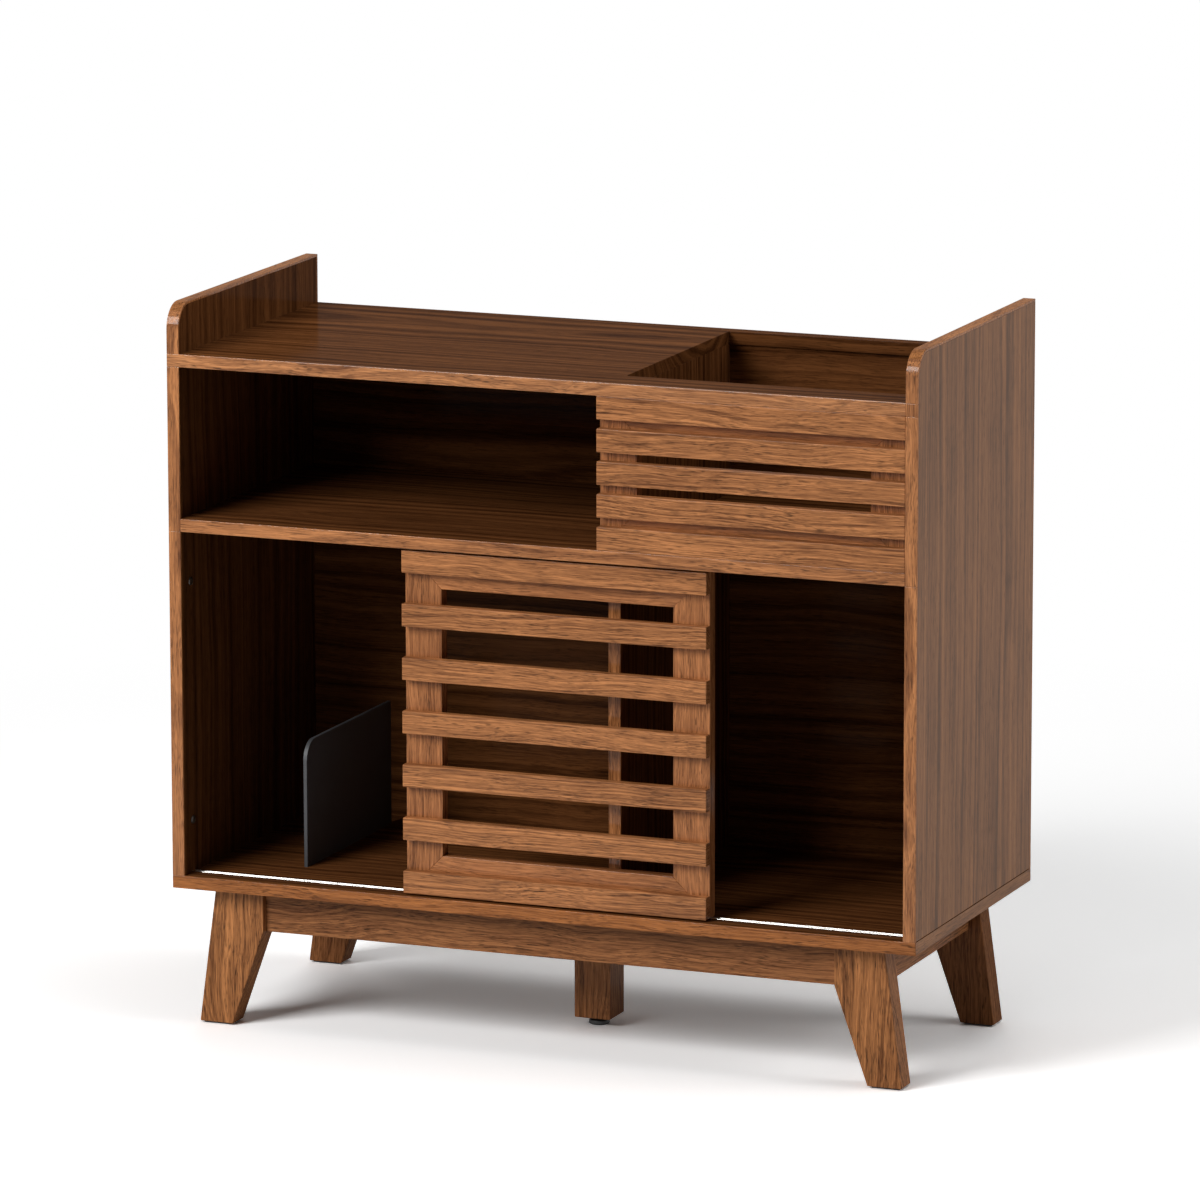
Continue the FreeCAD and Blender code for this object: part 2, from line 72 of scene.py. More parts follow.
def spread(tree, value, low, high, to_low, to_high):
    """Value mapped from one range to another, clamped."""
    node = wire(tree, "ShaderNodeMapRange", ((0, value), (1, low), (2, high), (3, to_low), (4, to_high)))
    return node.outputs[0]


def scaled(tree, vector, share):
    """Colour or vector times one number."""
    return wire(tree, "ShaderNodeVectorMath", ((0, vector), ("Scale", share)), operation="SCALE").outputs[0]


def blend_colour(tree, share, first, second):
    """Mix of two colours."""
    return wire(tree, "ShaderNodeMix", ((0, share), (6, first), (7, second)), data_type="RGBA").outputs[2]


def stretched_noise(tree, place, along, across, detail, roughness=0.5, distortion=0.0):
    """Noise drawn out along X: lengths are given as repeats in a metre."""
    drawn = wire(tree, "ShaderNodeMapping", ((0, place), ("Scale", (along, across, across))))
    noise = wire(tree, "ShaderNodeTexNoise",
                 (("Vector", drawn.outputs[0]), ("Scale", 1.0), ("Detail", detail),
                  ("Roughness", roughness), ("Distortion", distortion)))
    return noise.outputs[0]


def finish_group(name, inputs):
    """New node group for a finish: its tree, its inputs and the node of its three outputs."""
    tree = bpy.data.node_groups.new(name, "ShaderNodeTree")
    group_input(tree, "NodeSocketVector", "Place", (0, 0, 0))
    for kind, label, value in inputs:
        group_input(tree, "NodeSocket" + kind, label, value)
    for kind, label in (("Color", "Color"), ("Float", "Roughness"), ("Float", "Height")):
        tree.interface.new_socket(name=label, in_out="OUTPUT", socket_type="NodeSocket" + kind)
    return tree, wire(tree, "NodeGroupInput").outputs, wire(tree, "NodeGroupOutput")


def walnut_grain_group():
    """Walnut cut along the vector's X: growth rings about a pith, fibres that lean to and fro,
    slow clouds of tone, and short dark pores in patches."""
    tree, inputs, sink = finish_group("walnut grain", (
        ("Vector", "Pith", (0, 0.1, 0.03)), ("Float", "Rings", 160.0),
        ("Color", "Light", (0.5, 0.3, 0.18, 1)), ("Color", "Dark", (0.25, 0.13, 0.07, 1)),
        ("Float", "Figure", 0.6), ("Float", "Fibre", 0.6), ("Float", "Cloud", 0.4),
        ("Float", "Pores", 0.5), ("Float", "Lean", 0.02)))
    place = inputs["Place"]

    wander = maths(tree, "SUBTRACT", stretched_noise(tree, place, 7.0, 11.0, 1.0), 0.5)
    wander = maths(tree, "MULTIPLY", wander, inputs["Lean"])
    shift = wire(tree, "ShaderNodeCombineXYZ", ((1, wander), (2, wander)))
    leaning = wire(tree, "ShaderNodeVectorMath", ((0, place), (1, shift.outputs[0])), operation="ADD")
    place = leaning.outputs[0]
    from_pith = wire(tree, "ShaderNodeVectorMath", ((0, place), (1, inputs["Pith"])), operation="SUBTRACT")
    across = wire(tree, "ShaderNodeVectorMath", ((0, from_pith.outputs[0]), (1, (0, 1, 1))),
                  operation="MULTIPLY")
    distance = wire(tree, "ShaderNodeVectorMath", ((0, across.outputs[0]),), operation="LENGTH")
    radius = distance.outputs["Value"]
    slow = stretched_noise(tree, place, 1.1, 4.0, 2.0)
    quick = stretched_noise(tree, place, 6.0, 34.0, 3.0, 0.55)
    radius = maths(tree, "ADD", radius, maths(tree, "MULTIPLY", slow, 0.06))
    radius = maths(tree, "ADD", radius, maths(tree, "MULTIPLY", quick, 0.006))
    turns = maths(tree, "MULTIPLY", radius, inputs["Rings"])
    rings = wire(tree, "ShaderNodeTexNoise",
                 (("W", turns), ("Scale", 1.0), ("Detail", 3.0), ("Roughness", 0.6)), noise_dimensions="1D")

    figure = spread(tree, rings.outputs[0], 0.3, 0.7, -0.5, 0.5)
    fibre = spread(tree, stretched_noise(tree, place, 20.0, 700.0, 3.0, 0.7), 0.3, 0.7, -0.5, 0.5)
    cloud = spread(tree, stretched_noise(tree, place, 4.0, 30.0, 3.0, 0.6), 0.3, 0.7, -0.5, 0.5)
    pore = spread(tree, stretched_noise(tree, place, 75.0, 1050.0, 1.0, 0.5), 0.54, 0.68, 0.0, 1.0)
    patch = spread(tree, stretched_noise(tree, place, 12.0, 60.0, 2.0), 0.38, 0.6, 0.3, 1.0)
    mixed = maths(tree, "ADD", maths(tree, "MULTIPLY", figure, inputs["Figure"]),
                  maths(tree, "MULTIPLY", fibre, inputs["Fibre"]))
    mixed = maths(tree, "ADD", mixed, maths(tree, "MULTIPLY", cloud, inputs["Cloud"]))
    share = spread(tree, mixed, -0.5, 0.5, 0.0, 1.0)
    colour = blend_colour(tree, share, inputs["Dark"], inputs["Light"])
    depth = maths(tree, "MULTIPLY", maths(tree, "MULTIPLY", pore, patch), inputs["Pores"])
    shade = spread(tree, depth, 0.0, 1.0, 1.0, 0.25)
    tree.links.new(scaled(tree, colour, shade), sink.inputs["Color"])
    tree.links.new(spread(tree, fibre, -0.5, 0.5, 0.46, 0.36), sink.inputs["Roughness"])
    height = maths(tree, "SUBTRACT", maths(tree, "MULTIPLY", fibre, 0.35), depth)
    tree.links.new(height, sink.inputs["Height"])
    return tree


walnut_grain = walnut_grain_group()

# Turns that lay the pattern's X along the piece's grain
GRAIN_X = (0.0, 0.0, 0.0)
GRAIN_Y = (0.0, 0.0, math.radians(90))
GRAIN_Z = (0.0, math.radians(90), 0.0)


def new_material(name, group, values, relief, depth, grain=GRAIN_X, offset=(0, 0, 0)):
    """Material whose colour, roughness and bump come from a finish group laid along the grain,
    and its shader. The values are the group's own inputs by name."""
    material = bpy.data.materials.new(name)
    material.use_nodes = True
    tree = material.node_tree
    shader = tree.nodes["Principled BSDF"]
    where = wire(tree, "ShaderNodeTexCoord")
    laid = wire(tree, "ShaderNodeMapping",
                ((0, where.outputs["Object"]), ("Location", offset), ("Rotation", grain)))
    pattern = wire(tree, "ShaderNodeGroup", (("Place", laid.outputs[0]), *values.items()), node_tree=group)
    tree.links.new(pattern.outputs["Color"], shader.inputs["Base Color"])
    tree.links.new(pattern.outputs["Roughness"], shader.inputs["Roughness"])
    bump = wire(tree, "ShaderNodeBump",
                (("Height", pattern.outputs["Height"]), ("Strength", relief), ("Distance", depth)))
    tree.links.new(bump.outputs[0], shader.inputs["Normal"])
    return material, shader


def walnut(name, box, grain, cut, look, pith=(0.12, 0.05), rings=150.0):
    """Lacquered walnut for a piece that fills a box. The cut sets each board's own pattern,
    the pith is how far the log's middle is from the board's, and the look is a set of
    colours and gloss."""
    middle = Euler(grain).to_matrix() @ ((Vector(box[0]) + Vector(box[1])) / 2)
    between_cuts = (1.7, 0.9, 1.3)
    offset = Vector([step * cut for step in between_cuts])
    values = {"Pith": middle + offset + Vector((0, *pith)), "Rings": rings,
              "Light": (*look["light"], 1), "Dark": (*look["dark"], 1)}
    for part in ("Figure", "Fibre", "Cloud", "Pores", "Lean"):
        values[part] = look[part.lower()]
    material, shader = new_material(name, walnut_grain, values, relief=0.3, depth=0.0004,
                                    grain=grain, offset=offset)
    shader.inputs["Specular IOR Level"].default_value = 0.0
    shader.inputs["Coat Weight"].default_value = look["coat"]
    shader.inputs["Coat Roughness"].default_value = look["coat_roughness"]
    return material


def place_piece(name, mesh, material, body, slot, *replaced, smooth=0.0):
    """Add a finished mesh to the model on its body, in place of the nodes it stands for.
    Edges that turn by less than the smooth angle, in degrees, are shaded round."""
    piece = bpy.data.objects.new(name, mesh)
    bpy.context.collection.objects.link(piece)
    mesh.materials.clear()
    mesh.materials.append(material)
    if smooth:
        mesh.shade_smooth()
        mesh.set_sharp_from_angle(angle=math.radians(smooth))
    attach(piece, body)
    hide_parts(*replaced)
    return piece


def mesh_of(shape, name):
    """Mesh with the shape's faces, in place of the shape."""
    mesh = bpy.data.meshes.new(name)
    shape.to_mesh(mesh)
    shape.free()
    return mesh


def merged_copy(node):
    """A node's mesh with its loose triangles joined into whole faces."""
    shape = bmesh.new()
    shape.from_mesh(nodes[node].data)
    bmesh.ops.remove_doubles(shape, verts=shape.verts, dist=2e-6)
    bmesh.ops.dissolve_limit(shape, angle_limit=math.radians(0.5), verts=shape.verts, edges=shape.edges)
    return shape


# Points closer than this count as one place, and edges that turn by more count as arrises
same_place = 1e-5
arris_turn = math.radians(30)


def on_line(edge, line):
    """True for an edge that runs along Y at the line's x and z."""
    return all(abs(vert.co.x - line[0]) < same_place and abs(vert.co.z - line[1]) < same_place
               for vert in edge.verts)


def eased(node, body, slot, material, width, smooth=0.0, shortest=0.0024, rebate=None):
    """The node's own shape with its long arrises softened by hand sanding. A rebate is a fine
    square shadow gap cut along the arris at one x and z."""
    shape = merged_copy(node)
    arrises = [edge for edge in shape.edges if edge.is_manifold and edge.calc_length() > shortest
               and edge.calc_face_angle() > arris_turn and not (rebate and on_line(edge, rebate))]
    bmesh.ops.bevel(shape, geom=arrises, offset=width, segments=2, profile=0.5, affect="EDGES",
                    clamp_overlap=False)
    if rebate:
        gap_width, shortest_gap = 0.0012, 0.1
        gap = [edge for edge in shape.edges if on_line(edge, rebate) and edge.calc_length() > shortest_gap]
        bmesh.ops.bevel(shape, geom=gap, offset=gap_width, segments=2, profile=0.0, affect="EDGES",
                        clamp_overlap=False)
    mesh = mesh_of(shape, "eased_" + node)
    return place_piece("eased_" + node, mesh, material, body, slot, node, smooth=smooth)


def veneered(piece, material, way, facing=0.7):
    """Lay a second veneer on the faces of a board that look the given way. Facing is the
    least cosine between a face's normal and that way."""
    piece.data.materials.append(material)
    for face in piece.data.polygons:
        if face.normal.dot(Vector(way)) > facing:
            face.material_index = 1


# Painted shade, in part: the deep veneer is a darker copy of the walnut veneer that stands partly for the
# shade inside the cabinet and on the deck. The deck, shelf, partitions, bottom, back and the sides' inner
# faces wear it.
shaded_deep_veneer = {"light": (0.19, 0.07, 0.022), "dark": (0.045, 0.014, 0.004), "figure": 0.7, "fibre": 0.5,
               "cloud": 0.3, "pores": 0.6, "lean": 0.008, "coat": 0.03, "coat_roughness": 0.12}
side_veneer = {"light": (0.42, 0.188, 0.08), "dark": (0.115, 0.056, 0.03), "figure": 0.55, "fibre": 0.6,
               "cloud": 0.4, "pores": 0.6, "lean": 0.002, "coat": 0.3, "coat_roughness": 0.3}
for cut, (node, grain, pith, rings) in enumerate((
        ("deck_panel", GRAIN_X, (0.1, 0.09), 110.0), ("middle_shelf", GRAIN_X, (-0.1, 0.08), 110.0),
        ("upper_partition", GRAIN_Z, (0.3, 0.08), 130.0), ("lower_partition", GRAIN_Z, (0.3, 0.08), 130.0))):
    material = walnut("walnut veneer " + node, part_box(node), grain, cut + 1, shaded_deep_veneer, pith, rings)
    eased(node, "cabinet", "walnut_veneer", material, width=0.0003)

outer_arris = 0.0004
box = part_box("bottom_panel")
shaded_inner_look = walnut("walnut veneer bottom_panel", box, GRAIN_X, 5, shaded_deep_veneer, (0.15, 0.08), 110.0)
board = eased("bottom_panel", "cabinet", "walnut_veneer", shaded_inner_look, outer_arris)
end_look = walnut("walnut edging bottom_panel", box, GRAIN_Y, 6, side_veneer, (0.2, 0.1), 90.0)
for way in ((-1, 0, 0), (1, 0, 0)):
    veneered(board, end_look, way)
for side, outward in (("left", -1), ("right", 1)):
    node = "side_panel_" + side
    low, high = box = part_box(node)
    # Painted shade: each side panel's inner face takes the darker deep veneer and its outer face the lighter
    # side veneer, so one board has a shaded copy inside and a lit copy outside.
    shaded_inner_look = walnut("walnut inner veneer with painted shade " + side, box, GRAIN_Z, 7, shaded_deep_veneer, (0.9, 0.1), 60.0)
    outer_look = walnut("walnut outer veneer " + side, box, GRAIN_Z, 8, side_veneer, (0.9, 0.1), 85.0)
    board = eased(node, "cabinet", "walnut_veneer", shaded_inner_look, outer_arris,
                  rebate=(high[0] if side == "right" else low[0], low[2]))
    veneered(board, outer_look, (outward, 0, 0))

material = walnut("walnut veneer back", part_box("back_panel"), GRAIN_X, 9, shaded_deep_veneer, (0.1, 0.1), 90.0)
eased("back_panel", "cabinet", "walnut_back", material, width=0.0002)


# Lippings: solid walnut edging 3 mm thick, glued to the boards' front edges and sanded
# flush. The side panels have it at the rear and bent over the gallery too, in lengths
# that meet in fine joints.

edge_wood = {"light": (0.62, 0.25, 0.088), "dark": (0.16, 0.052, 0.016), "figure": 0.5, "fibre": 0.7,
             "cloud": 0.4, "pores": 0.9, "lean": 0.012, "coat": 0.4, "coat_roughness": 0.08}
# Painted shade: the gallery lipping's upward faces take a darker, less glossy copy of the edge walnut.
shaded_gallery_wood = {**edge_wood, "light": (0.50, 0.2, 0.066), "dark": (0.13, 0.043, 0.012), "coat": 0.12}
# Painted shade: the bottom lipping takes a darker, less glossy copy of the edge walnut, to hold down the
# light it gets from the floor.
shaded_low_edge_wood = {**edge_wood, "light": (0.55, 0.2, 0.058), "dark": (0.14, 0.043, 0.012), "coat": 0.2}
# Painted light: the deck's lipping takes a lighter, glossier copy of the edge walnut.
lit_deck_edge_wood = {**edge_wood, "light": (0.7, 0.295, 0.108), "coat": 0.5}
edge_cut = ((0.05, 0.02), 320.0)
edge_arris = 0.0005
for cut, (node, grain, look) in enumerate((("shelf_lipping", GRAIN_X, edge_wood),
                                           ("bottom_lipping", GRAIN_X, shaded_low_edge_wood),
                                           ("partition_lipping", GRAIN_Z, edge_wood))):
    material = walnut("walnut lipping " + node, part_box(node), grain, 12 + cut, look, *edge_cut)
    eased(node, "cabinet", "walnut_lipping", material, edge_arris)


def strip(outline, x0, x1, ease):
    """Edging with an outline of (y, z) corners, between two planes along X."""
    shape = bmesh.new()
    near = shape.faces.new([shape.verts.new((x0, y, z)) for y, z in outline])
    grown_out = bmesh.ops.extrude_face_region(shape, geom=[near])["geom"]
    for part in grown_out:
        if isinstance(part, bmesh.types.BMVert):
            part.co.x = x1
    bmesh.ops.recalc_face_normals(shape, faces=shape.faces)
    arrises = [edge for edge in shape.edges if edge.calc_face_angle() > arris_turn]
    bmesh.ops.bevel(shape, geom=arrises, offset=ease, segments=2, profile=0.5, affect="EDGES")
    return mesh_of(shape, "strip")


low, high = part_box("deck_lipping")
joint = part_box("side_panel_right")[0][0]
section = ((low[1], low[2]), (low[1], high[2]), (high[1], high[2]), (high[1], low[2]))
shape = bmesh.new()
for x0, x1 in ((low[0], joint), (joint, high[0])):
    shape.from_mesh(strip(section, x0, x1, edge_arris))
mesh = mesh_of(shape, "deck_lipping_strips")
material = walnut("walnut lipping deck", (low, high), GRAIN_X, 11, lit_deck_edge_wood, *edge_cut)
place_piece("deck_lipping_strips", mesh, material, "cabinet", "walnut_lipping", "deck_lipping")
mesh.materials.append(walnut("walnut lipping deck end", (low, high), GRAIN_Z, 15, edge_wood, *edge_cut))
for face in mesh.polygons:
    if face.center.x > joint:
        face.material_index = 1


def quarter_bend(middle_y, middle_z, radius, steps=14):
    """Points of the gallery's front corner, from the front edge up to the top."""
    turns = [math.pi / 2 * step / steps for step in range(steps + 1)]
    return [(middle_y - radius * math.cos(turn), middle_z + radius * math.sin(turn)) for turn in turns]


bend_radius = 0.030
thickness = 0.003
bay_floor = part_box("side_panel_left")[0][2]
shelf_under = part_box("middle_shelf")[0][2]
deck_under, deck_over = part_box("deck_panel")[0][2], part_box("deck_panel")[1][2]
for side, sign in (("left", -1), ("right", 1)):
    node = "side_lippings_" + side
    low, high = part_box(node)
    y0, y1, top = low[1], high[1], high[2]
    bend = quarter_bend(y0 + bend_radius, top - bend_radius, bend_radius)
    inner_bend = quarter_bend(y0 + bend_radius, top - bend_radius, bend_radius - thickness)
    behind, before, under = y0 + thickness, y1 - thickness, top - thickness
    lengths = (
        ((y0, bay_floor), (y0, shelf_under), (behind, shelf_under), (behind, bay_floor)),
        ((y0, shelf_under), (y0, deck_under), (behind, deck_under), (behind, shelf_under)),
        ((before, bay_floor), (before, under), (y1, under), (y1, bay_floor)),
        [(y0, deck_over)] + bend + [(y1, top), (y1, under)] + inner_bend[::-1] + [(behind, deck_over)],
    )
    shape = bmesh.new()
    for outline in lengths:
        shape.from_mesh(strip(outline, low[0], high[0], edge_arris))
    mesh = mesh_of(shape, "lipping_strips_" + side)
    material = walnut("walnut lipping " + side, (low, high), GRAIN_Z, 16 + sign, edge_wood, *edge_cut)
    piece = place_piece("lipping_strips_" + side, mesh, material, "cabinet", "walnut_lipping", node,
                        smooth=12.0)
    # The gallery's top faces get walnut laid across, which is real grain, in a darker tone that is painted
    # shade.
    material = walnut("walnut gallery lipping " + side, (low, high), GRAIN_Y, 18 + sign, shaded_gallery_wood,
                      *edge_cut)
    veneered(piece, material, (0, 0, 1))


# Slatted fronts: the fixed front of the bin and the sliding door. Solid walnut slats are
# screwed from behind to frames with mitred corners.

def corners(node):
    """Low and high corner of a node's box."""
    return [Vector(corner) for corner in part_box(node)]


def shape_tree(name, inputs):
    """New Geometry Nodes tree with geometry in and out, and its own inputs and material."""
    tree = bpy.data.node_groups.new(name, "GeometryNodeTree")
    for way in ("INPUT", "OUTPUT"):
        tree.interface.new_socket(name="Geometry", in_out=way, socket_type="NodeSocketGeometry")
    for kind, label, value in inputs:
        group_input(tree, "NodeSocket" + kind, label, value)
    tree.interface.new_socket(name="Finish", in_out="INPUT", socket_type="NodeSocketMaterial")
    return tree, wire(tree, "NodeGroupInput").outputs


def finished_tree(tree, inputs, shape):
    """The tree, with its shape made real and given the material."""
    real = wire(tree, "GeometryNodeRealizeInstances", (("Geometry", shape),))
    finished = wire(tree, "GeometryNodeSetMaterial",
                    (("Geometry", real.outputs[0]), ("Material", inputs["Finish"])))
    wire(tree, "NodeGroupOutput", ((0, finished.outputs[0]),))
    return tree


def slats_tree():
    """Row of equal slats, from the top one down; each knows its number as "cut"."""
    tree, inputs = shape_tree("slats", (
        ("Int", "Count", 5), ("Vector", "Size", (0.3, 0.012, 0.026)),
        ("Vector", "Top middle", (0, 0, 0)), ("Vector", "Step", (0, 0, -0.04))))
    bar = wire(tree, "GeometryNodeMeshCube", (("Size", inputs["Size"]),))
    row = wire(tree, "GeometryNodeMeshLine",
               (("Count", inputs["Count"]), ("Start Location", inputs["Top middle"]),
                ("Offset", inputs["Step"])))
    number = wire(tree, "GeometryNodeInputIndex")
    numbered = wire(tree, "GeometryNodeStoreNamedAttribute",
                    (("Geometry", row.outputs[0]), ("Name", "cut"), ("Value", number.outputs[0])),
                    data_type="FLOAT", domain="POINT")
    placed = wire(tree, "GeometryNodeInstanceOnPoints",
                  (("Points", numbered.outputs[0]), ("Instance", bar.outputs["Mesh"])))
    return finished_tree(tree, inputs, placed.outputs[0])


def grown(name, tree, start, values, bevel=None):
    """Plain mesh from a Geometry Nodes tree with its inputs set by name."""
    grower = bpy.data.objects.new(name, start or bpy.data.meshes.new(name))
    bpy.context.collection.objects.link(grower)
    modifier = grower.modifiers.new("shape", "NODES")
    modifier.node_group = tree
    for item in tree.interface.items_tree:
        if item.in_out == "INPUT" and item.name in values:
            modifier[item.identifier] = values[item.name]
    if bevel:
        softened = grower.modifiers.new("arrises", "BEVEL")
        softened.width = bevel
        softened.segments = 3
        softened.limit_method = "ANGLE"
    evaluated = grower.evaluated_get(bpy.context.evaluated_depsgraph_get())
    mesh = bpy.data.meshes.new_from_object(evaluated)
    bpy.data.objects.remove(grower)
    return mesh


def numbered_cuts(material):
    """Give each slat of a row its own place in the wood."""
    tree = material.node_tree
    pattern = next(node for node in tree.nodes if node.type == "GROUP")
    place = pattern.inputs["Place"].links[0].from_socket
    number = wire(tree, "ShaderNodeAttribute", attribute_name="cut")
    between_slats = (1.37, 0.019, 0.023)
    shift = scaled(tree, between_slats, number.outputs["Fac"])
    moved = wire(tree, "ShaderNodeVectorMath", ((0, place), (1, shift)), operation="ADD")
    tree.links.new(moved.outputs[0], pattern.inputs["Place"])


slat_wood = {"light": (0.66, 0.27, 0.098), "dark": (0.15, 0.052, 0.018), "figure": 0.5, "fibre": 0.8,
             "cloud": 0.35, "pores": 0.85, "lean": 0.014, "coat": 0.3, "coat_roughness": 0.2}
frame_wood = {"light": (0.62, 0.25, 0.092), "dark": (0.16, 0.053, 0.017), "figure": 0.45, "fibre": 0.7,
              "cloud": 0.35, "pores": 0.7, "lean": 0.014, "coat": 0.3, "coat_roughness": 0.2}
slats = slats_tree()
for cut, (front, body, count) in enumerate((("bin", "cabinet", 5), ("door", "sliding_door", 7))):
    low, high = corners(front + "_slat_1")
    step = corners(front + "_slat_2")[0] - low
    material = walnut("walnut slats " + front, (low, high), GRAIN_X, 21 + cut, slat_wood, (0.06, 0.035),
                      300.0)
    numbered_cuts(material)
    mesh = grown(front + "_slats", slats, None,
                 {"Count": count, "Size": high - low, "Top middle": (low + high) / 2, "Step": step,
                  "Finish": material}, bevel=0.001)
    place_piece(front + "_slats", mesh, material, body, "walnut_solid",
                *[front + "_slat_" + str(number) for number in range(1, count + 1)])
    for number, (member, grain) in enumerate((("_stile_left", GRAIN_Z), ("_stile_right", GRAIN_Z),
                                              ("_rail_top", GRAIN_X), ("_rail_bottom", GRAIN_X))):
        node = front + member
        material = walnut("walnut " + node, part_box(node), grain, 31 + 4 * cut + number, frame_wood,
                          (0.04, 0.05), 200.0)
        eased(node, body, "walnut_solid", material, width=0.0006)


# Running gear of the door. Nylon wheels turn in nylon housings that are let into the
# door's lower edge, and studs with round heads run in a channel under the shelf.

def plastic_group():
    """Moulded plastic: a fine even texture with faint flow marks."""
    tree, inputs, sink = finish_group("moulded plastic", (
        ("Color", "Tone", (0.1, 0.1, 0.1, 1)), ("Float", "Gloss", 0.5)))
    place = inputs["Place"]
    grain = stretched_noise(tree, place, 2600.0, 2600.0, 2.0)
    flow = stretched_noise(tree, place, 18.0, 40.0, 2.0, 0.5, 0.5)
    shade = spread(tree, flow, 0.3, 0.7, 0.86, 1.14)
    tree.links.new(scaled(tree, inputs["Tone"], shade), sink.inputs["Color"])
    rough = maths(tree, "ADD", maths(tree, "MULTIPLY", flow, 0.14), inputs["Gloss"])
    tree.links.new(rough, sink.inputs["Roughness"])
    tree.links.new(grain, sink.inputs["Height"])
    return tree


moulded_plastic = plastic_group()


def plastic(name, tone, gloss):
    """Moulded plastic of one tone."""
    return new_material(name, moulded_plastic, {"Tone": (*tone, 1), "Gloss": gloss}, relief=0.2,
                        depth=0.0001)[0]


def turned(name, profile, places, axis, segments=32):
    """Mesh of equal turned pieces. The profile is (radius, distance along the axis) pairs that
    begin and end on the axis."""
    shape = bmesh.new()
    ahead = Vector(axis).normalized()
    side = ahead.orthogonal().normalized()
    other = ahead.cross(side)
    for place in places:
        rows = []
        for radius, distance in profile:
            middle = Vector(place) + ahead * distance
            if radius == 0:
                rows.append([shape.verts.new(middle)])
                continue
            angles = [2 * math.pi * step / segments for step in range(segments)]
            rows.append([shape.verts.new(middle + (side * math.cos(a) + other * math.sin(a)) * radius)
                         for a in angles])
        for low, high in zip(rows, rows[1:]):
            for step in range(segments):
                after = (step + 1) % segments
                if len(low) == 1:
                    shape.faces.new((low[0], high[after], high[step]))
                elif len(high) == 1:
                    shape.faces.new((low[step], low[after], high[0]))
                else:
                    shape.faces.new((low[step], low[after], high[after], high[step]))
    bmesh.ops.recalc_face_normals(shape, faces=shape.faces)
    return mesh_of(shape, name)


def solids_of(node):
    """Corner pairs of the separate solids in a node."""
    shape = merged_copy(node)
    left = set(shape.verts)
    found = []
    while left:
        group = set()
        edge_of = [left.pop()]
        while edge_of:
            vertex = edge_of.pop()
            group.add(vertex)
            for edge in vertex.link_edges:
                other = edge.other_vert(vertex)
                if other in left:
                    left.discard(other)
                    edge_of.append(other)
        points = [vertex.co.copy() for vertex in group]
        low = Vector([min(point[i] for point in points) for i in range(3)])
        high = Vector([max(point[i] for point in points) for i in range(3)])
        found.append((low, high, points))
    shape.free()
    return sorted(found, key=lambda solid: tuple(solid[0]))


nylon = plastic("black nylon", (0.03, 0.03, 0.031), 0.4)
eased("roller_housings", "sliding_door", "nylon", nylon, width=0.0006)

half_wheel, axle, boss = 0.002, 0.0015, 0.0035
rim, lip, tread = 0.0025, 0.002, 0.0004
chamfer, slope, dish, tread_ease = 0.0002, 0.0007, 0.0006, 0.0005
for side in ("left", "right"):
    node = "roller_" + side
    low, high = corners(node)
    radius = (high.x - low.x) / 2
    length = high.y - low.y
    start = length / 2 - half_wheel
    near_half = [(0, 0), (axle - chamfer, 0), (axle, chamfer), (axle, start), (boss, start),
                 (boss + slope, start + dish), (radius - rim, start + dish), (radius - lip, start),
                 (radius - tread, start), (radius, start + tread_ease)]
    wheel = near_half + [(out, length - along) for out, along in reversed(near_half)]
    hub = Vector(((low.x + high.x) / 2, low.y, (low.z + high.z) / 2))
    mesh = turned("wheel_" + side, wheel, [hub], (0, 1, 0), 64)
    place_piece("wheel_" + side, mesh, plastic("pale nylon " + side, (0.55, 0.54, 0.5), 0.35), node,
                "nylon", node, smooth=35.0)

studs = solids_of("door_guide_studs")
stud_head, head_height = 0.0027, 0.008
stud_stem = 0.0022
cap, crown = 0.0012, 0.0005
reach = studs[0][1].z - studs[0][0].z
stem_reach = reach - head_height
stud_profile = ((0, 0), (stud_stem, 0), (stud_stem, stem_reach), (stud_head, stem_reach),
                (stud_head, reach - cap), (stud_head * 0.88, reach - crown),
                (stud_head * 0.55, reach), (0, reach))
stud_feet = [Vector(((low.x + high.x) / 2, (low.y + high.y) / 2, low.z)) for low, high, points in studs]
mesh = turned("guide_studs", stud_profile, stud_feet, (0, 0, 1))
place_piece("guide_studs", mesh, nylon, "sliding_door", "nylon", "door_guide_studs", smooth=35.0)

channel_brown = plastic("brown channel", (0.035, 0.02, 0.012), 0.45)
nodes["top_guide_channel"].material_slots[0].material = channel_brown


# Track of the door: a bright anodised aluminium strip let into the bottom panel, with a
# shallow groove for the wheels and four small countersunk screws.

def metal_group():
    """Drawn or plated metal: fine lines along X and faint dull patches."""
    tree, inputs, sink = finish_group("drawn metal", (
        ("Color", "Tone", (0.8, 0.8, 0.8, 1)), ("Float", "Gloss", 0.3)))
    place = inputs["Place"]
    lines = stretched_noise(tree, place, 12.0, 3200.0, 2.0)
    patches = stretched_noise(tree, place, 60.0, 90.0, 3.0)
    shade = spread(tree, maths(tree, "ADD", lines, patches), 0.7, 1.3, 0.88, 1.1)
    tree.links.new(scaled(tree, inputs["Tone"], shade), sink.inputs["Color"])
    rough = maths(tree, "ADD", maths(tree, "MULTIPLY", patches, 0.16), inputs["Gloss"])
    tree.links.new(rough, sink.inputs["Roughness"])
    tree.links.new(lines, sink.inputs["Height"])
    return tree


drawn_metal = metal_group()


def metal(name, tone, gloss, relief=0.15):
    """Metal of one tone, with its fine lines along X."""
    material, shader = new_material(name, drawn_metal, {"Tone": (*tone, 1), "Gloss": gloss}, relief,
                                    depth=0.0001)
    shader.inputs["Metallic"].default_value = 1.0
    return material


aluminium = metal("bright aluminium", (0.97, 0.95, 0.92), 0.2, relief=0.02)
track = eased("bottom_track", "cabinet", "aluminium", aluminium, width=0.0002)
